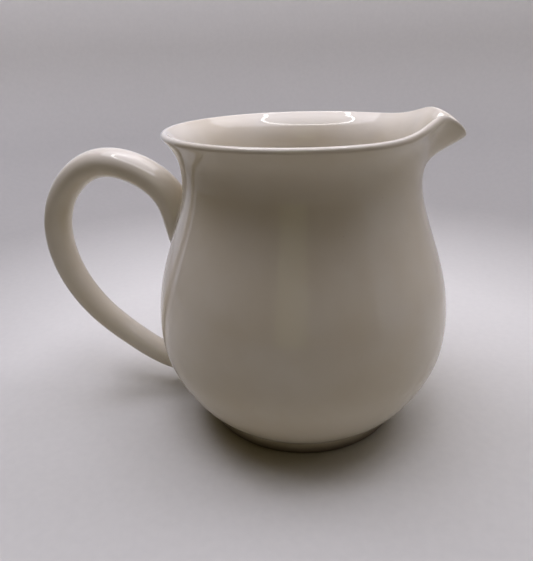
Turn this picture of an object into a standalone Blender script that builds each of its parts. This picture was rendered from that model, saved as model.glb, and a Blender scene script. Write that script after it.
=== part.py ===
"""Small ceramic pitcher: a thrown body with a pulled spout, a turned foot ring, and a loop
handle luted on with two pads of slip.  Metres, +Z up.  The origin is on the table plane under
the axis of the body, the spout points along +X and the handle along -X."""
import math

import bpy
import numpy as np

MM = 0.001

# Outside of the body wall, as (radius, height) in millimetres from the foot to under the lip.
BODY_OUTLINE = [
    (37.9, 4.8),
    (43.2, 9.9),
    (49.6, 19.8),
    (53.1, 29.0),
    (54.3, 40.5),
    (52.1, 57.0),
    (44.6, 79.2),
    (41.9, 91.0),
    (42.1, 97.2),
    (43.6, 102.6),
    (47.2, 107.8),
]
OUTSIDE_STEPS = 26
RIM_STEPS = 4
CORNER_STEPS = 3
WALL_BELLY = 3.4 * MM
WALL_NECK = 3.2 * MM
WALL_RIM = 2.4 * MM
LIP_START = 102.5 * MM
LIP_END = BODY_OUTLINE[-1][1] * MM
FLOOR_TOP = 7.2 * MM
FLOOR_RADIUS = 32.0 * MM

# Foot ring, and the floor plug that it surrounds.
RING_INNER_RADIUS = 31.3 * MM
RING_OUTER_RADIUS = 37.2 * MM
RING_TOP = 4.5 * MM
RING_EDGE = 0.5 * MM
JOINT_GAP = 0.3 * MM
BASE_RECESS = 0.8 * MM

# Spout: the rim is pulled out over a narrow angle, its flanks lifted and its tip pressed down.
RIM_HEIGHT = 110.0 * MM
SPOUT_START = 92.0 * MM
SPOUT_PULL = 6.9 * MM
SPOUT_SPREAD = 0.161
SPOUT_POWER = 2.34
SPOUT_RISE = 1.9
FLANK_LIFT = 4.4 * MM
FLANK_ANGLE = 0.288
FLANK_SPREAD = 0.34
TIP_DROP = 4.3 * MM
TIP_SPREAD = 0.124

# Handle centre line in the XZ plane, as (x, z) in millimetres from the upper root to the lower.
HANDLE_LINE = [
    (-41.0, 57.0),
    (-45.5, 68.4),
    (-49.9, 83.5),
    (-61.9, 93.6),
    (-78.5, 95.8),
    (-97.3, 79.2),
    (-99.3, 58.1),
    (-88.0, 35.4),
    (-71.7, 21.5),
    (-60.0, 14.5),
    (-51.0, 12.0),
    (-44.0, 12.8),
    (-35.0, 16.0),
]
HANDLE_HALF_DEPTH = [6.1 * MM, 5.1 * MM, 4.35 * MM]
HANDLE_WIDTH_RATIO = 1.2
HANDLE_STEPS = 36
HANDLE_SIDES = 16
SLIP_THICKNESS = 1.0 * MM
SLIP_OVERHANG = 0.9 * MM
CAP_RINGS = (0.7, 0.35)
ROOT_REACH = 0.25
ROOT_BLEND = 0.2
WALL_SAMPLES = 200
SEARCH_STEPS = 40

SEGMENTS = 72
SEGMENT_CROWDING = 0.5


def clear_scene():
    """Remove every object so that the script starts from an empty scene."""
    for existing in list(bpy.data.objects):
        bpy.data.objects.remove(existing, do_unlink=True)


def material(name, colour, roughness):
    """A plain principled material."""
    made = bpy.data.materials.new(name)
    made.use_nodes = True
    made.diffuse_color = (*colour, 1.0)
    shader = made.node_tree.nodes["Principled BSDF"]
    shader.inputs["Base Color"].default_value = (*colour, 1.0)
    shader.inputs["Roughness"].default_value = roughness
    shader.inputs["Metallic"].default_value = 0.0
    return made


def add_object(name, points, faces, surface):
    """Make one smooth-shaded object from points and faces."""
    mesh = bpy.data.meshes.new(name)
    mesh.from_pydata([tuple(float(v) for v in p) for p in points], [], faces)
    mesh.update()
    mesh.materials.append(surface)
    mesh.polygons.foreach_set("use_smooth", [True] * len(mesh.polygons))
    made = bpy.data.objects.new(name, mesh)
    bpy.context.scene.collection.objects.link(made)
    return made


def bridge(faces, lower, upper, count):
    """Join two closed rings of points, given by their first indices, with quads."""
    for i in range(count):
        j = (i + 1) % count
        faces.append((lower + i, lower + j, upper + j, upper + i))


def fan(faces, ring, centre, count, flip):
    """Close a ring of points onto one centre point."""
    for i in range(count):
        j = (i + 1) % count
        faces.append((ring + j, ring + i, centre) if flip else (ring + i, ring + j, centre))


def spline(points):
    """A natural cubic spline by chord length: a function from 0..1 to position and direction."""
    pts = np.array(points, float)
    chord = np.hypot(*np.diff(pts, axis=0).T)
    knots = np.concatenate([[0.0], np.cumsum(chord)]) / chord.sum()
    step = np.diff(knots)
    count = len(pts)
    system = np.eye(count)
    right = np.zeros_like(pts)
    for i in range(1, count - 1):
        system[i, i - 1] = step[i - 1]
        system[i, i] = 2 * (step[i - 1] + step[i])
        system[i, i + 1] = step[i]
        right[i] = 6 * ((pts[i + 1] - pts[i]) / step[i] - (pts[i] - pts[i - 1]) / step[i - 1])
    bend = np.linalg.solve(system, right)

    def at(share):
        i = int(min(max(np.searchsorted(knots, share, side="right") - 1, 0), count - 2))
        h = step[i]
        a = (knots[i + 1] - share) / h
        b = (share - knots[i]) / h
        curve = a * pts[i] + b * pts[i + 1]
        curve = curve + ((a**3 - a) * bend[i] + (b**3 - b) * bend[i + 1]) * h * h / 6
        slope = (pts[i + 1] - pts[i]) / h
        slope = slope + ((3 * b * b - 1) * bend[i + 1] - (3 * a * a - 1) * bend[i]) * h / 6
        return curve, slope / np.linalg.norm(slope)

    return at


def smooth_step(share):
    """Ease from 0 to 1."""
    share = min(max(share, 0.0), 1.0)
    return share * share * (3 - 2 * share)


def outside_rows():
    """(radius, height, outward normal) up the outside of the wall."""
    outline = spline(BODY_OUTLINE)
    rows = []
    for k in range(OUTSIDE_STEPS + 1):
        (radius, height), (run, rise) = outline(k / OUTSIDE_STEPS)
        rows.append((radius * MM, height * MM, rise, -run))
    return rows


def wall_at(height):
    """Wall thickness: full at the belly, a little less at the neck, tapering over the lip."""
    wall = WALL_BELLY + (WALL_NECK - WALL_BELLY) * smooth_step(height / LIP_START)
    taper = max(0.0, (height - LIP_START) / (LIP_END - LIP_START))
    return wall - (WALL_NECK - WALL_RIM) * taper**2


def body_rows():
    """Every ring of the body from the edge of the base, up, over the lip and down inside."""
    outside = outside_rows()
    plug = RING_INNER_RADIUS - JOINT_GAP
    rows = [(plug, BASE_RECESS), (plug, outside[0][1])]
    rows += [(radius, height) for radius, height, _, _ in outside]
    radius, height, out_r, out_z = outside[-1]
    half = WALL_RIM / 2
    centre_r, centre_z = radius - out_r * half, height - out_z * half
    for k in range(1, RIM_STEPS + 1):
        turn = math.pi * k / (RIM_STEPS + 1)
        along_r, along_z = -out_z, out_r
        rows.append((
            centre_r + half * (out_r * math.cos(turn) + along_r * math.sin(turn)),
            centre_z + half * (out_z * math.cos(turn) + along_z * math.sin(turn)),
        ))
    inner = []
    for radius, height, out_r, out_z in reversed(outside):
        wall = wall_at(height)
        inner.append((radius - out_r * wall, height - out_z * wall))
    inner = [row for row in inner if row[1] > FLOOR_TOP + WALL_BELLY]
    rows += inner
    corner_r, corner_z = inner[-1]
    for k in range(1, CORNER_STEPS + 1):
        share = k / CORNER_STEPS
        rows.append((
            corner_r + (FLOOR_RADIUS - corner_r) * share,
            FLOOR_TOP + (corner_z - FLOOR_TOP) * (1 - share) ** 2,
        ))
    rows.append((FLOOR_RADIUS / 2, FLOOR_TOP))
    return rows


def segment_angles():
    """Angles round the axis, closer together at the spout."""
    angles = []
    for j in range(SEGMENTS):
        even = 2 * math.pi * j / SEGMENTS
        angles.append(even - SEGMENT_CROWDING * math.sin(even))
    return angles


def pull_spout(radius, height, angle):
    """Move one point of the plain round body to where the pulled spout has it."""
    turn = abs((angle + math.pi) % (2 * math.pi) - math.pi)
    share = smooth_step((height - SPOUT_START) / (RIM_HEIGHT - SPOUT_START))
    pull = SPOUT_PULL * math.exp(-((turn / SPOUT_SPREAD) ** SPOUT_POWER))
    lift = FLANK_LIFT * math.exp(-(((turn - FLANK_ANGLE) / FLANK_SPREAD) ** 2))
    lift -= TIP_DROP * math.exp(-((turn / TIP_SPREAD) ** 2))
    return radius + pull * share**SPOUT_RISE, height + lift * share


def make_body(surface):
    """The wall, floor, neck, rim and spout as one thrown piece."""
    rows = body_rows()
    angles = segment_angles()
    points = [(0.0, 0.0, BASE_RECESS)]
    for radius, height in rows:
        for angle in angles:
            r, z = pull_spout(radius, height, angle)
            points.append((r * math.cos(angle), r * math.sin(angle), z))
    points.append((0.0, 0.0, FLOOR_TOP))
    faces = []
    fan(faces, 1, 0, SEGMENTS, True)
    for k in range(len(rows) - 1):
        bridge(faces, 1 + k * SEGMENTS, 1 + (k + 1) * SEGMENTS, SEGMENTS)
    fan(faces, 1 + (len(rows) - 1) * SEGMENTS, len(points) - 1, SEGMENTS, False)
    return add_object("vessel_body", points, faces, surface)


def make_foot_ring(surface):
    """The standing ring in its rebate round the floor plug."""
    section = [
        (RING_INNER_RADIUS + RING_EDGE, 0.0),
        (RING_OUTER_RADIUS - RING_EDGE, 0.0),
        (RING_OUTER_RADIUS, RING_EDGE),
        (RING_OUTER_RADIUS, RING_TOP),
        (RING_INNER_RADIUS, RING_TOP),
        (RING_INNER_RADIUS, RING_EDGE),
    ]
    points = []
    for radius, height in section:
        for j in range(SEGMENTS):
            angle = 2 * math.pi * j / SEGMENTS
            points.append((radius * math.cos(angle), radius * math.sin(angle), height))
    faces = []
    for k in range(len(section)):
        bridge(faces, k * SEGMENTS, (k + 1) % len(section) * SEGMENTS, SEGMENTS)
    return add_object("foot_ring", points, faces, surface)


def outside_distance(point, profile):
    """Distance of a point outside the body wall, to first order."""
    radii, heights = profile
    radius = math.hypot(point[0], point[1])
    here = np.interp(point[2], heights, radii)
    small = MM
    slope = (np.interp(point[2] + small, heights, radii) - here) / small
    return (radius - here) / math.sqrt(1 + slope * slope)


def wall_profile():
    """Radii and heights of the outside of the wall for looking up."""
    outline = spline(BODY_OUTLINE)
    samples = [outline(k / WALL_SAMPLES)[0] for k in range(WALL_SAMPLES + 1)]
    return [p[0] * MM for p in samples], [p[1] * MM for p in samples]


def on_handle(share, turn, line, extra=0.0, scale=1.0):
    """A point of the handle's oval section, some way along the line and round the section."""
    (x, z), (dx, dz) = line(share)
    first, middle, last = HANDLE_HALF_DEPTH
    half = first + (middle - first) * smooth_step(2 * share)
    half += (last - middle) * smooth_step(2 * share - 1)
    across = (half + extra) * scale * math.cos(turn)
    wide = (half * HANDLE_WIDTH_RATIO + extra) * scale * math.sin(turn)
    return np.array([x * MM - dz * across, wide, z * MM + dx * across])


def side_turns():
    """Angles round the handle's section."""
    return [2 * math.pi * j / HANDLE_SIDES for j in range(HANDLE_SIDES)]


def meeting_share(turn, line, profile, offset, end, extra=0.0, scale=1.0):
    """Where one long line of the handle comes out of the wall grown by an offset."""
    inside, outside = end, abs(end - ROOT_REACH)
    for _ in range(SEARCH_STEPS):
        middle = (inside + outside) / 2
        point = on_handle(middle, turn, line, extra, scale)
        if outside_distance(point, profile) > offset:
            outside = middle
        else:
            inside = middle
    return outside


def root_rings(line, profile, offset, end, extra=0.0):
    """Rings of a handle end laid on the wall, from the edge to the middle, and the middle point."""
    rings = []
    for scale in (1.0, *CAP_RINGS):
        ring = []
        for turn in side_turns():
            share = meeting_share(turn, line, profile, offset, end, extra, scale)
            ring.append(on_handle(share, turn, line, extra, scale))
        rings.append(ring)
    share = meeting_share(0.0, line, profile, offset, end, 0.0, 0.0)
    return rings, on_handle(share, 0.0, line, 0.0, 0.0)


def stack(name, surface, first_middle, rings, last_middle, flip):
    """Skin a stack of rings and close both ends onto a middle point."""
    points = [first_middle] + [p for ring in rings for p in ring] + [last_middle]
    faces = []
    fan(faces, 1, 0, HANDLE_SIDES, flip)
    for k in range(len(rings) - 1):
        pair = [1 + k * HANDLE_SIDES, 1 + (k + 1) * HANDLE_SIDES]
        if not flip:
            pair.reverse()
        bridge(faces, pair[0], pair[1], HANDLE_SIDES)
    fan(faces, 1 + (len(rings) - 1) * HANDLE_SIDES, len(points) - 1, HANDLE_SIDES, not flip)
    return add_object(name, points, faces, surface)


def make_handle(surface, line, profile):
    """The loop handle, its ends cut to the curve of the wall."""
    offset = 2 * JOINT_GAP + SLIP_THICKNESS
    upper, upper_middle = root_rings(line, profile, offset, 0.0)
    lower, lower_middle = root_rings(line, profile, offset, 1.0)
    starts = [meeting_share(turn, line, profile, offset, 0.0) for turn in side_turns()]
    stops = [meeting_share(turn, line, profile, offset, 1.0) for turn in side_turns()]
    rings = upper[::-1]
    for k in range(1, HANDLE_STEPS):
        along = k / HANDLE_STEPS
        ring = []
        for turn, start, stop in zip(side_turns(), starts, stops):
            even = max(starts) + (min(stops) - max(starts)) * along
            skew = (start - max(starts)) * max(0.0, 1 - along / ROOT_BLEND)
            skew += (stop - min(stops)) * max(0.0, 1 - (1 - along) / ROOT_BLEND)
            ring.append(on_handle(even + skew, turn, line))
        rings.append(ring)
    rings += lower
    return stack("handle", surface, upper_middle, rings, lower_middle, False)


def make_slip(name, surface, line, profile, end):
    """A thin pad of slip between a handle end and the wall."""
    under, under_middle = root_rings(line, profile, JOINT_GAP, end, SLIP_OVERHANG)
    over_offset = JOINT_GAP + SLIP_THICKNESS
    over, over_middle = root_rings(line, profile, over_offset, end, SLIP_OVERHANG)
    rings = under[::-1] + over
    return stack(name, surface, under_middle, rings, over_middle, end > 0.5)


def build():
    """Build the whole pitcher."""
    clear_scene()
    glaze = material("ivory_glaze", (0.80, 0.76, 0.69), 0.12)
    bare = material("bare_clay", (0.72, 0.66, 0.57), 0.75)
    slip = material("slip_joint", (0.79, 0.75, 0.68), 0.2)
    make_body(glaze)
    make_foot_ring(bare)
    line = spline(HANDLE_LINE)
    profile = wall_profile()
    make_handle(glaze, line, profile)
    make_slip("upper_slip_joint", slip, line, profile, 0.0)
    make_slip("lower_slip_joint", slip, line, profile, 1.0)


build()
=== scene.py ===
"""Looks for the ceramic pitcher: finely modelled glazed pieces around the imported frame, a pale
sweep to stand on, and soft studio light with a dark opening in front of the pitcher."""
import math

import bpy
import numpy as np
from mathutils import Matrix, Vector


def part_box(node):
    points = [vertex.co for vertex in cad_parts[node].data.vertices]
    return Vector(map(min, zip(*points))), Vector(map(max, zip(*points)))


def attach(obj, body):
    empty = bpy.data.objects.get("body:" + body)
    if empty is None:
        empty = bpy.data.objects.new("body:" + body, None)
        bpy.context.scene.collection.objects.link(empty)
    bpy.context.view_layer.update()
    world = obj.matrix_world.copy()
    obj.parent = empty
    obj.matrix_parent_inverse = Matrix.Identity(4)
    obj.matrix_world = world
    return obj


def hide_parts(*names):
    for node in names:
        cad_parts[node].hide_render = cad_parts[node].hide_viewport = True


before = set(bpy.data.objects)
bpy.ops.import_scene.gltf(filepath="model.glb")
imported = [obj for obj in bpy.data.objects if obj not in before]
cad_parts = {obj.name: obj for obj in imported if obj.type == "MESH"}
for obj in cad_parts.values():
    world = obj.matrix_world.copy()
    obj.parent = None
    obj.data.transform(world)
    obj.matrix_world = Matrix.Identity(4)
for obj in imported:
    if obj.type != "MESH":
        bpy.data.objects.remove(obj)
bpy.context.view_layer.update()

# ---------------------------------------------------------------- sizes of the pitcher
# Lengths here are in units of about a millimetre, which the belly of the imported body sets.

BELLY_RADIUS = 54.3
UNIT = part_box("vessel_body")[1][1] / BELLY_RADIUS
FOOT_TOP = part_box("foot_ring")[1][2] / UNIT
FOOT_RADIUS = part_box("foot_ring")[1][0] / UNIT
BASE_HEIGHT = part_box("vessel_body")[0][2] / UNIT

# Outside of the body wall, as (radius, height) from the foot to under the lip.
BODY_OUTLINE = [
    (37.9, 4.8),
    (43.2, 9.9),
    (49.6, 19.8),
    (53.1, 29.0),
    (BELLY_RADIUS, 40.5),
    (52.1, 57.0),
    (44.6, 79.2),
    (41.9, 91.0),
    (42.1, 97.2),
    (43.6, 102.6),
    (47.2, 107.8),
]
OUTSIDE_STEPS = 76
RIM_STEPS = 14
BODY_SEGMENTS = 256
SEGMENT_CROWDING = 0.45
RIM_HEIGHT = 110.0

# Wall thickness, and the stretch under the lip where it thins.
WALL_BELLY = 3.4
WALL_NECK = 3.2
WALL_RIM = 2.4
LIP_START = 102.5
LIP_END = BODY_OUTLINE[-1][1]

# Inside floor, with a hollow corner up to the wall.
FLOOR_TOP = 7.2
FLOOR_RADIUS = 32.0
FLOOR_CORNER_STEPS = 8
FLOOR_RINGS = (0.8, 0.6, 0.4, 0.2)

# Underside: a plug inside the foot ring, its softened edge as (inwards, upwards) steps, and the
# softened crease where the wall overhangs the foot ring, the same way.
PLUG_RADIUS = 31.0
PLUG_EDGE = [(0.6, 0.0), (0.15, 0.2), (0.0, 0.7)]
CREASE_EDGE = [(1.0, 0.0), (0.25, 0.02)]

# Foot ring: rounded standing edge, and a slightly hollowed outer face as (outwards, share of
# its height) steps.
FOOT_GAP = 0.3
FOOT_EDGE = 0.8
FOOT_EDGE_STEPS = 6
FOOT_FACE = [(-0.12, 0.45), (-0.05, 0.8), (0.1, 1.0)]
FOOT_SEGMENTS = 192

# Spout: how far it is pulled out and where, the raised flanks, and the dip at its tip.
# Angles are in radians round the axis from the middle of the spout.
SPOUT_START = 92.0
SPOUT_PULL = 6.9
SPOUT_SPREAD = 0.161
SPOUT_POWER = 2.34
SPOUT_RISE = 1.9
FLANK_LIFT = 4.4
FLANK_ANGLE = 0.288
FLANK_SPREAD = 0.34
TIP_DROP = 4.3
TIP_SPREAD = 0.124

# Handle centre line in the XZ plane, as (x, z) from the upper root to the lower.
HANDLE_LINE = [
    (-41.0, 57.0),
    (-45.5, 68.4),
    (-49.9, 83.5),
    (-61.9, 93.6),
    (-78.5, 95.8),
    (-97.3, 79.2),
    (-99.3, 58.1),
    (-88.0, 35.4),
    (-71.7, 21.5),
    (-60.0, 14.5),
    (-51.0, 12.0),
    (-44.0, 12.8),
    (-35.0, 16.0),
]
HANDLE_HALF_DEPTH = [6.1, 5.1, 4.35]
HANDLE_WIDTH_RATIO = 1.2
HANDLE_STEPS = 150
HANDLE_SIDES = 56
HANDLE_CAPS = (0.3, 0.6, 0.85)
ROOT_SUNK = 1.2
ROOT_REACH = 0.25
ROOT_BLEND = 0.2
ROOT_BLEND_POWER = 1.5

# Slip fillets: reach along the handle and along the wall, and the hidden back of the fillet.
FILLET = 2.6
FILLET_STEPS = 9
FILLET_SKIN = 0.015
FILLET_TUCK = 0.3
FILLET_TUCK_DEPTH = 0.7
FILLET_BACK_DEPTH = 1.0
FILLET_BACK_SCALE = 0.9

# How finely the curves are measured.
WALL_SAMPLES = 400
LINE_SAMPLES = 300
SEARCH_STEPS = 30
SLOPE_STEP = 0.5

# ---------------------------------------------------------------- stage, light and camera
# The camera's place is in units; its turns are pitch down, yaw and roll.

CAMERA_PLACE = (27.3, -187.1, 133.0)
CAMERA_TURN = (math.radians(23.16), math.radians(-4.02), math.radians(-1.70))
OBJECT_TURN = math.radians(8.3)
LENS = 34.2
SENSOR = 36.0

# Lengths from here on are in metres, and colours are linear.
SWEEP_RINGS = (0.0005, 0.06, 0.12, 0.20)
SWEEP_FLOOR = 0.27
SWEEP_BEND = 0.14
SWEEP_BEND_STEPS = 14
SWEEP_TOP = 1.0
SWEEP_SEGMENTS = 96
# Sweep colour by distance out plus height: painted shade, darker from the middle of the floor out into
# the bend up the wall, and lighter again higher up the wall.
SWEEP_PAINTED_SHADE = [
    (0.14, (0.61, 0.585, 0.51)),
    (0.31, (0.40, 0.38, 0.335)),
    (0.44, (0.41, 0.39, 0.345)),
    (0.60, (0.56, 0.535, 0.47)),
]

# Area lights: name, shape, place, target, size, watts.
LIGHT_COLOUR = (0.965, 0.985, 1.25)
AREA_LIGHTS = [
    ("top_disc", "DISK", (0.0, -0.02, 0.5), (0.0, -0.02, 0.0), (0.24, 0.24), 0.31),
    ("front_disc", "DISK", (0.0, -0.12, 0.5), (0.0, -0.08, 0.0), (0.24, 0.24), 0.33),
    ("rear_disc", "DISK", (0.0, 0.12, 0.55), (0.0, 0.08, 0.0), (0.36, 0.36), 0.37),
    ("back", "RECTANGLE", (0.0, 0.36, 0.45), (0.0, 0.05, 0.0), (0.5, 0.2), 0.6),
    ("left_high", "RECTANGLE", (-0.30, -0.04, 0.5), (-0.05, 0.0, 0.0), (0.25, 0.25), 1.17),
    ("left_rear", "RECTANGLE", (-0.30, 0.16, 0.5), (-0.05, 0.03, 0.0), (0.25, 0.25), 0.76),
    ("right_high", "RECTANGLE", (0.30, -0.04, 0.5), (0.05, 0.0, 0.0), (0.25, 0.25), 0.14),
    ("right_rear", "RECTANGLE", (0.30, 0.16, 0.5), (0.05, 0.03, 0.0), (0.25, 0.25), 0.94),
]

# Upright cards: name, from and to (degrees round from the front), distance, height, colour,
# strength, and whether the card shades and lights things as well as being reflected.
UPRIGHT_CARDS = [
    ("front_dark", -100.0, 62.0, 0.33, 0.9, (1.0, 0.75, 0.2), 0.07, True),
    ("front_strip", -9.0, 13.0, 0.325, 0.9, (1.0, 1.0, 0.5), 0.45, False),
    ("left_side", -165.0, -100.0, 0.34, 0.6, (1.0, 1.0, 1.1), 0.6, False),
    ("right_side", 62.0, 110.0, 0.34, 0.6, (1.0, 1.0, 1.1), 0.4, False),
]
CARD_STEPS = 48

# Flat rings overhead, only reflected: name, inner and outer radius, height, colour, strength.
RING_MIDDLE = (-0.025, -0.05)
OVERHEAD_RINGS = [
    ("ring_glow", 0.152, 0.163, 0.45, (1.0, 0.98, 0.98), 18.0),
    ("ceiling", 0.0001, 1.20, 0.55, (1.0, 1.0, 1.08), 2.6),
]
RING_SEGMENTS = 96

ROOM_COLOUR = (0.95, 0.95, 1.0, 1.0)
ROOM_STRENGTH = 0.3
VIEW_GAMMA = 0.85

# ---------------------------------------------------------------- colours of the materials

GLAZE_TINT = (0.69, 0.632, 0.51)
POOLED_TINT = (0.67, 0.61, 0.49)
GLAZE_WARMER = (0.96, 0.94, 0.90)
GLAZE_SPECK = (0.60, 0.52, 0.42, 1.0)
GLAZE_IOR = 1.5
GLAZE_ROUGHNESS = (0.01, 0.03)
GLAZE_RIPPLE = 0.00008
GLAZE_FINE_RIPPLE = 0.000004
CLAY_GRAIN = [(0.3, (0.58, 0.52, 0.40)), (0.7, (0.62, 0.56, 0.44))]
# Dark bottom edge of the foot, by height: partly the clay's own darker edge, partly painted contact shade
# where it stands on the floor.
CLAY_DARK_EDGE_AND_CONTACT_SHADE = [(0.0004, (0.10, 0.055, 0.03)), (0.0009, (1.0, 1.0, 1.0))]
CLAY_ROUGHNESS = 0.3
CLAY_LINES = 0.00005
PAPER_FLECK = [(0.3, (0.97, 0.97, 0.97)), (0.7, (1.0, 1.0, 1.0))]
PAPER_ROUGHNESS = 0.6
PAPER_SHINE = 0.2


# ---------------------------------------------------------------- curves

def smooth_step(share):
    """Ease from 0 to 1."""
    share = min(max(share, 0.0), 1.0)
    return share * share * (3 - 2 * share)


def spline(points):
    """A natural cubic spline by chord length: a function from 0..1 to position and direction."""
    pts = np.array(points, float)
    chord = np.hypot(*np.diff(pts, axis=0).T)
    knots = np.concatenate([[0.0], np.cumsum(chord)]) / chord.sum()
    step = np.diff(knots)
    count = len(pts)
    system = np.eye(count)
    right = np.zeros_like(pts)
    for i in range(1, count - 1):
        system[i, i - 1] = step[i - 1]
        system[i, i] = 2 * (step[i - 1] + step[i])
        system[i, i + 1] = step[i]
        right[i] = 6 * ((pts[i + 1] - pts[i]) / step[i] - (pts[i] - pts[i - 1]) / step[i - 1])
    bend = np.linalg.solve(system, right)

    def at(share):
        i = int(min(max(np.searchsorted(knots, share, side="right") - 1, 0), count - 2))
        h = step[i]
        a = (knots[i + 1] - share) / h
        b = (share - knots[i]) / h
        curve = a * pts[i] + b * pts[i + 1]
        curve = curve + ((a**3 - a) * bend[i] + (b**3 - b) * bend[i + 1]) * h * h / 6
        slope = (pts[i + 1] - pts[i]) / h
        slope = slope + ((3 * b * b - 1) * bend[i + 1] - (3 * a * a - 1) * bend[i]) * h / 6
        return curve, slope / np.linalg.norm(slope)

    return at


def line_length(line):
    """Length of a spline."""
    spots = [line(k / LINE_SAMPLES)[0] for k in range(LINE_SAMPLES + 1)]
    return sum(np.linalg.norm(b - a) for a, b in zip(spots, spots[1:]))


def circle(count):
    """Even angles round a full turn."""
    return [2 * math.pi * j / count for j in range(count)]


BODY_LINE = spline(BODY_OUTLINE)
WALL_SPOTS = [BODY_LINE(k / WALL_SAMPLES)[0] for k in range(WALL_SAMPLES + 1)]
WALL_RADII = [spot[0] for spot in WALL_SPOTS]
WALL_HEIGHTS = [spot[1] for spot in WALL_SPOTS]
GRIP_LINE = spline(HANDLE_LINE)
GRIP_LENGTH = line_length(GRIP_LINE)
SIDE_TURNS = circle(HANDLE_SIDES)


# ---------------------------------------------------------------- mesh helpers

def add_piece(name, points, faces, surface, sharp_degrees=50.0):
    """Make one smooth object from points in units and faces."""
    mesh = bpy.data.meshes.new(name)
    mesh.from_pydata([tuple(float(v) * UNIT for v in p) for p in points], [], faces)
    mesh.update()
    mesh.materials.append(surface)
    mesh.polygons.foreach_set("use_smooth", [True] * len(mesh.polygons))
    mesh.set_sharp_from_angle(angle=math.radians(sharp_degrees))
    made = bpy.data.objects.new(name, mesh)
    bpy.context.scene.collection.objects.link(made)
    return made


def ring_faces(rings, count, closed=False):
    """Quads between consecutive rings, which go counter-clockwise seen from the last one."""
    faces = []
    for k in range(rings if closed else rings - 1):
        lower = k * count
        upper = (k + 1) % rings * count
        for i in range(count):
            j = (i + 1) % count
            faces.append((lower + i, lower + j, upper + j, upper + i))
    return faces


def cap_faces(ring, centre, count, flip):
    """Close a ring onto a centre point."""
    faces = []
    for i in range(count):
        j = (i + 1) % count
        faces.append((ring + j, ring + i, centre) if flip else (ring + i, ring + j, centre))
    return faces


def turned_over(faces):
    """The same faces, looking the other way."""
    return [tuple(reversed(face)) for face in faces]


# ---------------------------------------------------------------- vessel

def wall_at(height):
    """Wall thickness: full at the belly, a little less at the neck, tapering over the lip."""
    wall = WALL_BELLY + (WALL_NECK - WALL_BELLY) * smooth_step(height / LIP_START)
    taper = max(0.0, (height - LIP_START) / (LIP_END - LIP_START))
    return wall - (WALL_NECK - WALL_RIM) * taper**2


def outside_rows():
    """The outer wall from the foot up: (radius, height) and the outward direction there."""
    rows = []
    for k in range(OUTSIDE_STEPS + 1):
        (radius, height), (run, rise) = BODY_LINE(k / OUTSIDE_STEPS)
        rows.append((radius, height, rise, -run))
    return rows


def underside_rows(crease_radius, crease_height):
    """The plug inside the foot ring, and the overhang out to where the wall starts."""
    rows = [(PLUG_RADIUS * 0.5, BASE_HEIGHT)]
    rows += [(PLUG_RADIUS - inwards, BASE_HEIGHT + upwards) for inwards, upwards in PLUG_EDGE]
    rows += [(PLUG_RADIUS, crease_height)]
    rows += [(crease_radius - inwards, crease_height + upwards) for inwards, upwards in CREASE_EDGE]
    return rows


def lip_rows(radius, height, out_r, out_z):
    """The half-round lip, from the top of the outer wall over to the inner one."""
    half = WALL_RIM / 2
    centre_r = radius - out_r * half
    centre_z = height - out_z * half
    rows = []
    for k in range(1, RIM_STEPS + 1):
        turn = math.pi * k / (RIM_STEPS + 1)
        rows.append((
            centre_r + half * (out_r * math.cos(turn) - out_z * math.sin(turn)),
            centre_z + half * (out_z * math.cos(turn) + out_r * math.sin(turn)),
        ))
    return rows


def inside_rows(outside):
    """The inner wall down from the lip, a wall's thickness in from the outer one."""
    rows = []
    for radius, height, out_r, out_z in reversed(outside):
        wall = wall_at(height)
        rows.append((radius - out_r * wall, height - out_z * wall))
    return [row for row in rows if row[1] > FLOOR_TOP + WALL_BELLY]


def floor_rows(corner_r, corner_z):
    """The hollow corner from the inner wall to the floor, and the floor towards the middle."""
    rows = []
    for k in range(1, FLOOR_CORNER_STEPS + 1):
        share = k / FLOOR_CORNER_STEPS
        rows.append((
            corner_r + (FLOOR_RADIUS - corner_r) * share,
            FLOOR_TOP + (corner_z - FLOOR_TOP) * (1 - share) ** 2,
        ))
    return rows + [(FLOOR_RADIUS * share, FLOOR_TOP) for share in FLOOR_RINGS]


def body_rows():
    """Every ring of the body from the middle of the base, up, over the lip and down inside."""
    outside = outside_rows()
    inside = inside_rows(outside)
    rows = underside_rows(*outside[0][:2])
    rows += [row[:2] for row in outside]
    rows += lip_rows(*outside[-1])
    rows += inside
    rows += floor_rows(*inside[-1])
    return rows


def segment_angles():
    """Angles round the axis, closer together at the spout."""
    return [even - SEGMENT_CROWDING * math.sin(even) for even in circle(BODY_SEGMENTS)]


def pull_spout(radius, height, angle):
    """Move one point of the plain round body to where the pulled spout has it."""
    turn = abs((angle + math.pi) % (2 * math.pi) - math.pi)
    share = smooth_step((height - SPOUT_START) / (RIM_HEIGHT - SPOUT_START))
    pull = SPOUT_PULL * math.exp(-((turn / SPOUT_SPREAD) ** SPOUT_POWER))
    lift = FLANK_LIFT * math.exp(-(((turn - FLANK_ANGLE) / FLANK_SPREAD) ** 2))
    lift -= TIP_DROP * math.exp(-((turn / TIP_SPREAD) ** 2))
    return radius + pull * share**SPOUT_RISE, height + lift * share


def make_vessel(surface):
    """The thrown body: wall, floor, neck, rim and spout."""
    rows = body_rows()
    angles = segment_angles()
    points = []
    for radius, height in rows:
        for angle in angles:
            r, z = pull_spout(radius, height, angle)
            points.append((r * math.cos(angle), r * math.sin(angle), z))
    faces = ring_faces(len(rows), BODY_SEGMENTS)
    points.append((0.0, 0.0, BASE_HEIGHT))
    faces += cap_faces(0, len(points) - 1, BODY_SEGMENTS, True)
    points.append((0.0, 0.0, FLOOR_TOP))
    faces += cap_faces((len(rows) - 1) * BODY_SEGMENTS, len(points) - 1, BODY_SEGMENTS, False)
    return add_piece("glazed_vessel", points, faces, surface)


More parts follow.
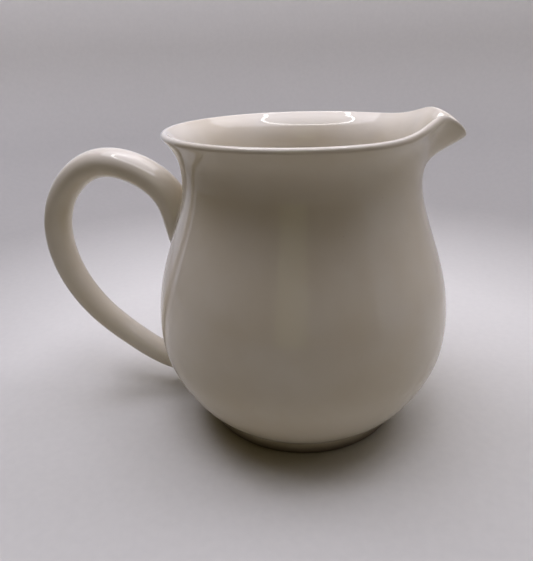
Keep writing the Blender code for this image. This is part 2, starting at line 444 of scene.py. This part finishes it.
def make_foot(surface):
    """The turned foot ring: rounded standing edge, slightly hollowed outer face."""
    inner = PLUG_RADIUS + FOOT_GAP
    turns = [math.pi / 2 * k / FOOT_EDGE_STEPS for k in range(FOOT_EDGE_STEPS + 1)]
    section = []
    for turn in turns:
        outwards = FOOT_EDGE * math.sin(turn) - FOOT_EDGE
        section.append((FOOT_RADIUS + outwards, FOOT_EDGE - FOOT_EDGE * math.cos(turn)))
    section += [(FOOT_RADIUS + outwards, FOOT_TOP * share) for outwards, share in FOOT_FACE]
    section += [(inner, FOOT_TOP)]
    for turn in turns:
        outwards = FOOT_EDGE - FOOT_EDGE * math.cos(turn)
        section.append((inner + outwards, FOOT_EDGE - FOOT_EDGE * math.sin(turn)))
    points = []
    for radius, height in section:
        for angle in circle(FOOT_SEGMENTS):
            points.append((radius * math.cos(angle), radius * math.sin(angle), height))
    faces = ring_faces(len(section), FOOT_SEGMENTS, True)
    return add_piece("turned_foot", points, faces, surface, 60)


# ---------------------------------------------------------------- handle and its roots

def wall_slope(height):
    """How much the wall's radius grows per unit of height."""
    above = np.interp(height + SLOPE_STEP, WALL_HEIGHTS, WALL_RADII)
    below = np.interp(height - SLOPE_STEP, WALL_HEIGHTS, WALL_RADII)
    return (above - below) / (2 * SLOPE_STEP)


def outside_distance(point):
    """Distance of a point outside the body wall, to first order."""
    radius = math.hypot(point[0], point[1])
    here = np.interp(point[2], WALL_HEIGHTS, WALL_RADII)
    return (radius - here) / math.sqrt(1 + wall_slope(point[2]) ** 2)


def wall_normal(point):
    """Outward normal of the wall at a point on it."""
    radius = math.hypot(point[0], point[1])
    normal = np.array([point[0] / radius, point[1] / radius, -wall_slope(point[2])])
    return normal / np.linalg.norm(normal)


def on_wall(point, sunk=0.0):
    """The point moved onto the wall, or a little into it."""
    for _ in range(3):
        point = point - wall_normal(point) * (outside_distance(point) + sunk)
    return point


def on_handle(share, turn, scale=1.0):
    """A point of the handle's oval section, some way along the line and round the section."""
    (x, z), (dx, dz) = GRIP_LINE(share)
    first, middle, last = HANDLE_HALF_DEPTH
    half = first + (middle - first) * smooth_step(2 * share)
    half += (last - middle) * smooth_step(2 * share - 1)
    across = half * scale * math.cos(turn)
    wide = half * HANDLE_WIDTH_RATIO * scale * math.sin(turn)
    return np.array([x - dz * across, wide, z + dx * across])


def meeting_share(turn, offset, end, scale=1.0):
    """Where one long line of the handle comes out of the wall grown by an offset."""
    inside = end
    outside = abs(end - ROOT_REACH)
    for _ in range(SEARCH_STEPS):
        middle = (inside + outside) / 2
        if outside_distance(on_handle(middle, turn, scale)) > offset:
            outside = middle
        else:
            inside = middle
    return outside


def sunk_ring(end, scale):
    """A ring of the handle's end cap, at an even depth in the wall."""
    ring = []
    for turn in SIDE_TURNS:
        ring.append(on_handle(meeting_share(turn, -ROOT_SUNK, end, scale), turn, scale))
    return ring


def root_blend(along):
    """How strongly a ring this far along takes the slant of the root it is near."""
    return max(0.0, 1 - along / ROOT_BLEND) ** ROOT_BLEND_POWER


def make_handle(surface):
    """The loop handle, its ends sunk a little way into the wall."""
    upper = [meeting_share(turn, -ROOT_SUNK, 0.0) for turn in SIDE_TURNS]
    lower = [meeting_share(turn, -ROOT_SUNK, 1.0) for turn in SIDE_TURNS]
    first = max(upper)
    last = min(lower)
    points = []
    for scale in HANDLE_CAPS:
        points += sunk_ring(0.0, scale)
    for k in range(HANDLE_STEPS + 1):
        along = k / HANDLE_STEPS
        for turn, start, stop in zip(SIDE_TURNS, upper, lower):
            share = first + (last - first) * along
            share += (start - first) * root_blend(along)
            share += (stop - last) * root_blend(1 - along)
            points.append(on_handle(share, turn))
    for scale in reversed(HANDLE_CAPS):
        points += sunk_ring(1.0, scale)
    rings = len(points) // HANDLE_SIDES
    faces = turned_over(ring_faces(rings, HANDLE_SIDES))
    points.append(on_handle(meeting_share(0.0, -ROOT_SUNK, 0.0, 0.0), 0.0, 0.0))
    faces += cap_faces(0, len(points) - 1, HANDLE_SIDES, False)
    points.append(on_handle(meeting_share(0.0, -ROOT_SUNK, 1.0, 0.0), 0.0, 0.0))
    faces += cap_faces((rings - 1) * HANDLE_SIDES, len(points) - 1, HANDLE_SIDES, True)
    return add_piece("glazed_handle", points, faces, surface)


def fillet_section(turn, share, meet, away, inward):
    """One section of a fillet: a hollow curve from the handle to the wall, and its hidden back."""
    reach = inward * FILLET / GRIP_LENGTH
    start = on_handle(share + reach, turn)
    stop = on_wall(meet + away * FILLET, FILLET_SKIN)
    section = []
    for k in range(FILLET_STEPS + 1):
        s = k / FILLET_STEPS
        section.append(start * (1 - s) ** 2 + meet * 2 * s * (1 - s) + stop * s * s)
    section.append(on_wall(stop - away * FILLET_TUCK, FILLET_TUCK_DEPTH))
    section.append(on_wall(meet, FILLET_BACK_DEPTH))
    section.append(on_handle(share + reach * FILLET_BACK_SCALE, turn, FILLET_BACK_SCALE))
    return section


def make_fillet(name, surface, end):
    """The wiped slip round a handle root: a hollow fillet, tangent to the handle and the wall."""
    inward = 1.0 if end < 0.5 else -1.0
    shares = [meeting_share(turn, 0.0, end) for turn in SIDE_TURNS]
    meets = [on_handle(share, turn) for share, turn in zip(shares, SIDE_TURNS)]
    middle = sum(meets) / len(meets)
    sections = []
    for j, (turn, share, meet) in enumerate(zip(SIDE_TURNS, shares, meets)):
        along = meets[(j + 1) % HANDLE_SIDES] - meets[j - 1]
        away = np.cross(wall_normal(meet), along)
        away /= np.linalg.norm(away)
        if np.dot(away, meet - middle) < 0:
            away = -away
        sections.append(fillet_section(turn, share, meet, away, inward))
    count = len(sections[0])
    points = [section[k] for k in range(count) for section in sections]
    faces = ring_faces(count, HANDLE_SIDES, True)
    if end > 0.5:
        faces = turned_over(faces)
    return add_piece(name, points, faces, surface, 60)


# ---------------------------------------------------------------- materials

def new_material(name):
    """An empty node material with its output and a principled shader."""
    made = bpy.data.materials.new(name)
    made.use_nodes = True
    tree = made.node_tree
    tree.nodes.clear()
    output = tree.nodes.new("ShaderNodeOutputMaterial")
    shader = tree.nodes.new("ShaderNodeBsdfPrincipled")
    tree.links.new(shader.outputs["BSDF"], output.inputs["Surface"])
    return made, tree, shader


def object_place(tree):
    """Object coordinates, which all pieces share, so that patterns run on across their seams."""
    return tree.nodes.new("ShaderNodeTexCoord").outputs["Object"]


def height_of(tree, place):
    """The Z part of a place."""
    parts = tree.nodes.new("ShaderNodeSeparateXYZ")
    tree.links.new(place, parts.inputs["Vector"])
    return parts.outputs["Z"]


def noise(tree, scale, detail, stretch=(1.0, 1.0, 1.0)):
    """Noise over the object."""
    mapping = tree.nodes.new("ShaderNodeMapping")
    mapping.inputs["Scale"].default_value = stretch
    made = tree.nodes.new("ShaderNodeTexNoise")
    made.inputs["Scale"].default_value = scale
    made.inputs["Detail"].default_value = detail
    tree.links.new(object_place(tree), mapping.inputs["Vector"])
    tree.links.new(mapping.outputs["Vector"], made.inputs["Vector"])
    return made.outputs["Fac"]


def ramp(tree, value, stops):
    """A colour ramp: stops are (position, colour)."""
    made = tree.nodes.new("ShaderNodeValToRGB")
    elements = made.color_ramp.elements
    while len(elements) < len(stops):
        elements.new(0.5)
    for element, (position, colour) in zip(elements, stops):
        element.position = position
        element.color = (*colour, 1.0)
    tree.links.new(value, made.inputs["Fac"])
    return made.outputs["Color"]


def mix(tree, share, first, second, kind="MIX"):
    """Mix two colours by a share; each of the three is a value or another node's output."""
    made = tree.nodes.new("ShaderNodeMix")
    made.data_type = "RGBA"
    made.blend_type = kind
    for socket, value in zip((made.inputs[0], made.inputs[6], made.inputs[7]), (share, first, second)):
        if isinstance(value, (float, tuple)):
            socket.default_value = value
        else:
            tree.links.new(value, socket)
    return made.outputs[2]


def bump(tree, height, distance, below=None):
    """A bump from a height, on top of another one if given."""
    made = tree.nodes.new("ShaderNodeBump")
    made.inputs["Strength"].default_value = 1.0
    made.inputs["Distance"].default_value = distance
    tree.links.new(height, made.inputs["Height"])
    if below is not None:
        tree.links.new(below, made.inputs["Normal"])
    return made.outputs["Normal"]


def ivory_glaze(name, tint):
    """Glossy ivory glaze over a pale body: slightly uneven colour, faint ripple, rare pinholes."""
    made, tree, shader = new_material(name)
    warm = tuple(c * s for c, s in zip(tint, GLAZE_WARMER))
    cloud = ramp(tree, noise(tree, 38.0, 3.0), [(0.35, warm), (0.65, tint)])
    speck = ramp(tree, noise(tree, 900.0, 1.0), [(0.80, (0, 0, 0)), (0.84, (1, 1, 1))])
    tree.links.new(mix(tree, speck, cloud, GLAZE_SPECK), shader.inputs["Base Color"])
    shader.inputs["IOR"].default_value = GLAZE_IOR
    gloss = tree.nodes.new("ShaderNodeMapRange")
    gloss.inputs["To Min"].default_value = GLAZE_ROUGHNESS[0]
    gloss.inputs["To Max"].default_value = GLAZE_ROUGHNESS[1]
    tree.links.new(noise(tree, 120.0, 2.0), gloss.inputs["Value"])
    tree.links.new(gloss.outputs["Result"], shader.inputs["Roughness"])
    ripple = bump(tree, noise(tree, 55.0, 1.0), GLAZE_RIPPLE)
    ripple = bump(tree, noise(tree, 420.0, 2.0), GLAZE_FINE_RIPPLE, ripple)
    tree.links.new(ripple, shader.inputs["Normal"])
    return made


def bare_clay(name):
    """Turned clay of the foot ring: satin, fine turning lines, dark along its bottom edge, partly the
    clay's own colour and partly painted contact shade.
    """
    made, tree, shader = new_material(name)
    grain = ramp(tree, noise(tree, 500.0, 3.0), CLAY_GRAIN)
    # Darker along the bottom edge: partly the clay's own colour, partly painted contact shade.
    edge = ramp(tree, height_of(tree, object_place(tree)), CLAY_DARK_EDGE_AND_CONTACT_SHADE)
    tree.links.new(mix(tree, 1.0, grain, edge, "MULTIPLY"), shader.inputs["Base Color"])
    shader.inputs["Roughness"].default_value = CLAY_ROUGHNESS
    lines = noise(tree, 60.0, 2.0, (1.0, 1.0, 40.0))
    tree.links.new(bump(tree, lines, CLAY_LINES), shader.inputs["Normal"])
    return made


def sweep_paper(name):
    """Pale matt sweep with painted shade: greyer where the floor turns up into the wall, lighter again
    higher up.
    """
    made, tree, shader = new_material(name)
    place = object_place(tree)
    flat = tree.nodes.new("ShaderNodeVectorMath")
    flat.operation = "MULTIPLY"
    flat.inputs[1].default_value = (1.0, 1.0, 0.0)
    tree.links.new(place, flat.inputs[0])
    away = tree.nodes.new("ShaderNodeVectorMath")
    away.operation = "LENGTH"
    tree.links.new(flat.outputs["Vector"], away.inputs[0])
    path = tree.nodes.new("ShaderNodeMath")
    path.operation = "ADD"
    tree.links.new(away.outputs["Value"], path.inputs[0])
    tree.links.new(height_of(tree, place), path.inputs[1])
    # Painted shade: the sweep darkens into the bend where the floor turns up into the wall.
    shade = ramp(tree, path.outputs["Value"], SWEEP_PAINTED_SHADE)
    fleck = ramp(tree, noise(tree, 300.0, 4.0), PAPER_FLECK)
    tree.links.new(mix(tree, 1.0, shade, fleck, "MULTIPLY"), shader.inputs["Base Color"])
    shader.inputs["Roughness"].default_value = PAPER_ROUGHNESS
    shader.inputs["Specular IOR Level"].default_value = PAPER_SHINE
    return made


def glow(name, colour, strength):
    """Plain emission for a light card."""
    made = bpy.data.materials.new(name)
    made.use_nodes = True
    tree = made.node_tree
    tree.nodes.clear()
    output = tree.nodes.new("ShaderNodeOutputMaterial")
    shader = tree.nodes.new("ShaderNodeEmission")
    shader.inputs["Color"].default_value = (*colour, 1.0)
    shader.inputs["Strength"].default_value = strength
    tree.links.new(shader.outputs["Emission"], output.inputs["Surface"])
    return made


# ---------------------------------------------------------------- stage, lights, camera

def add_stage_piece(name, points, faces, surface):
    """Make a smooth stage piece from points in metres."""
    made = add_piece(name, [tuple(v / UNIT for v in p) for p in points], faces, surface, 180)
    return made


def make_sweep():
    """A round pale sweep: a flat floor that curves up into a wall on every side."""
    rows = [(radius, 0.0) for radius in SWEEP_RINGS + (SWEEP_FLOOR,)]
    for k in range(1, SWEEP_BEND_STEPS + 1):
        turn = math.pi / 2 * k / SWEEP_BEND_STEPS
        rise = SWEEP_BEND - SWEEP_BEND * math.cos(turn)
        rows.append((SWEEP_FLOOR + SWEEP_BEND * math.sin(turn), rise))
    rows.append((SWEEP_FLOOR + SWEEP_BEND, SWEEP_TOP))
    points = []
    for radius, height in rows:
        for angle in circle(SWEEP_SEGMENTS):
            points.append((radius * math.cos(angle), radius * math.sin(angle), height))
    faces = turned_over(ring_faces(len(rows), SWEEP_SEGMENTS))
    add_stage_piece("sweep", points, faces, sweep_paper("sweep_paper"))


def hide_from_camera(made, diffuse):
    """Leave a stage piece visible in reflections only, or also as light and shade."""
    made.visible_camera = False
    made.visible_shadow = diffuse
    made.visible_diffuse = diffuse


def upright_card(name, left, right, distance, top, colour, strength, diffuse):
    """An upright curved card round the pitcher, between two angles from the front."""
    points = []
    for k in range(CARD_STEPS + 1):
        angle = math.radians(left + (right - left) * k / CARD_STEPS)
        x = distance * math.sin(angle)
        y = -distance * math.cos(angle)
        points += [(x, y, 0.0), (x, y, top)]
    faces = [(2 * k, 2 * k + 2, 2 * k + 3, 2 * k + 1) for k in range(CARD_STEPS)]
    made = add_stage_piece(name, points, faces, glow(name, colour, strength))
    hide_from_camera(made, diffuse)


def overhead_ring(name, inner, outer, height, colour, strength):
    """A flat ring over the pitcher, seen in reflections only."""
    points = []
    for radius in (inner, outer):
        for angle in circle(RING_SEGMENTS):
            x = RING_MIDDLE[0] + radius * math.cos(angle)
            y = RING_MIDDLE[1] + radius * math.sin(angle)
            points.append((x, y, height))
    faces = ring_faces(2, RING_SEGMENTS)
    made = add_stage_piece(name, points, faces, glow(name, colour, strength))
    hide_from_camera(made, False)


def area_light(name, shape, place, target, size, power):
    """A soft light that reflections don't show."""
    data = bpy.data.lights.new(name, "AREA")
    data.shape = shape
    data.size, data.size_y = size
    data.energy = power
    data.color = LIGHT_COLOUR
    made = bpy.data.objects.new(name, data)
    made.location = place
    made.rotation_euler = (Vector(target) - Vector(place)).to_track_quat("-Z", "Y").to_euler()
    made.visible_glossy = False
    bpy.context.scene.collection.objects.link(made)


def make_lights():
    """Soft light from above, a bright ring for reflections, and a dark opening in front."""
    for light in AREA_LIGHTS:
        area_light(*light)
    for card in UPRIGHT_CARDS:
        upright_card(*card)
    for ring in OVERHEAD_RINGS:
        overhead_ring(*ring)


def make_camera():
    """The camera, close to the pitcher and looking down on it."""
    pitch, yaw, roll = CAMERA_TURN
    forward = Vector((math.sin(yaw) * math.cos(pitch), math.cos(yaw) * math.cos(pitch), -math.sin(pitch)))
    right = Vector((math.cos(yaw), -math.sin(yaw), 0.0))
    up = right.cross(forward)
    right_rolled = right * math.cos(roll) + up * math.sin(roll)
    up_rolled = up * math.cos(roll) - right * math.sin(roll)
    axes = Matrix((right_rolled, up_rolled, -forward)).transposed()
    turned = Matrix.Rotation(OBJECT_TURN, 3, "Z") @ axes
    data = bpy.data.cameras.new("camera")
    data.lens = LENS
    data.sensor_width = SENSOR
    data.clip_start = 0.01
    made = bpy.data.objects.new("camera", data)
    made.matrix_world = Matrix.Translation(Vector(CAMERA_PLACE) * UNIT) @ turned.to_4x4()
    bpy.context.scene.collection.objects.link(made)
    bpy.context.scene.camera = made


def make_world():
    """A dim, even room, and how its light is shown."""
    world = bpy.data.worlds.new("room")
    world.use_nodes = True
    background = world.node_tree.nodes["Background"]
    background.inputs["Color"].default_value = ROOM_COLOUR
    background.inputs["Strength"].default_value = ROOM_STRENGTH
    bpy.context.scene.world = world
    bpy.context.scene.view_settings.view_transform = "Standard"
    bpy.context.scene.view_settings.gamma = VIEW_GAMMA


def stands_for(piece, node):
    """Put a visible piece in the place of a node of the frame."""
    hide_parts(node)
    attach(piece, "root")


def main():
    """Build the pieces, the stage and the light."""
    glaze = ivory_glaze("ivory_glaze_fine", GLAZE_TINT)
    pooled = ivory_glaze("ivory_glaze_pooled", POOLED_TINT)
    stands_for(make_vessel(glaze), "vessel_body")
    stands_for(make_foot(bare_clay("bare_clay_fine")), "foot_ring")
    stands_for(make_handle(glaze), "handle")
    stands_for(make_fillet("upper_slip_fillet", pooled, 0.0), "upper_slip_joint")
    stands_for(make_fillet("lower_slip_fillet", pooled, 1.0), "lower_slip_joint")
    make_sweep()
    make_lights()
    make_camera()
    make_world()


main()
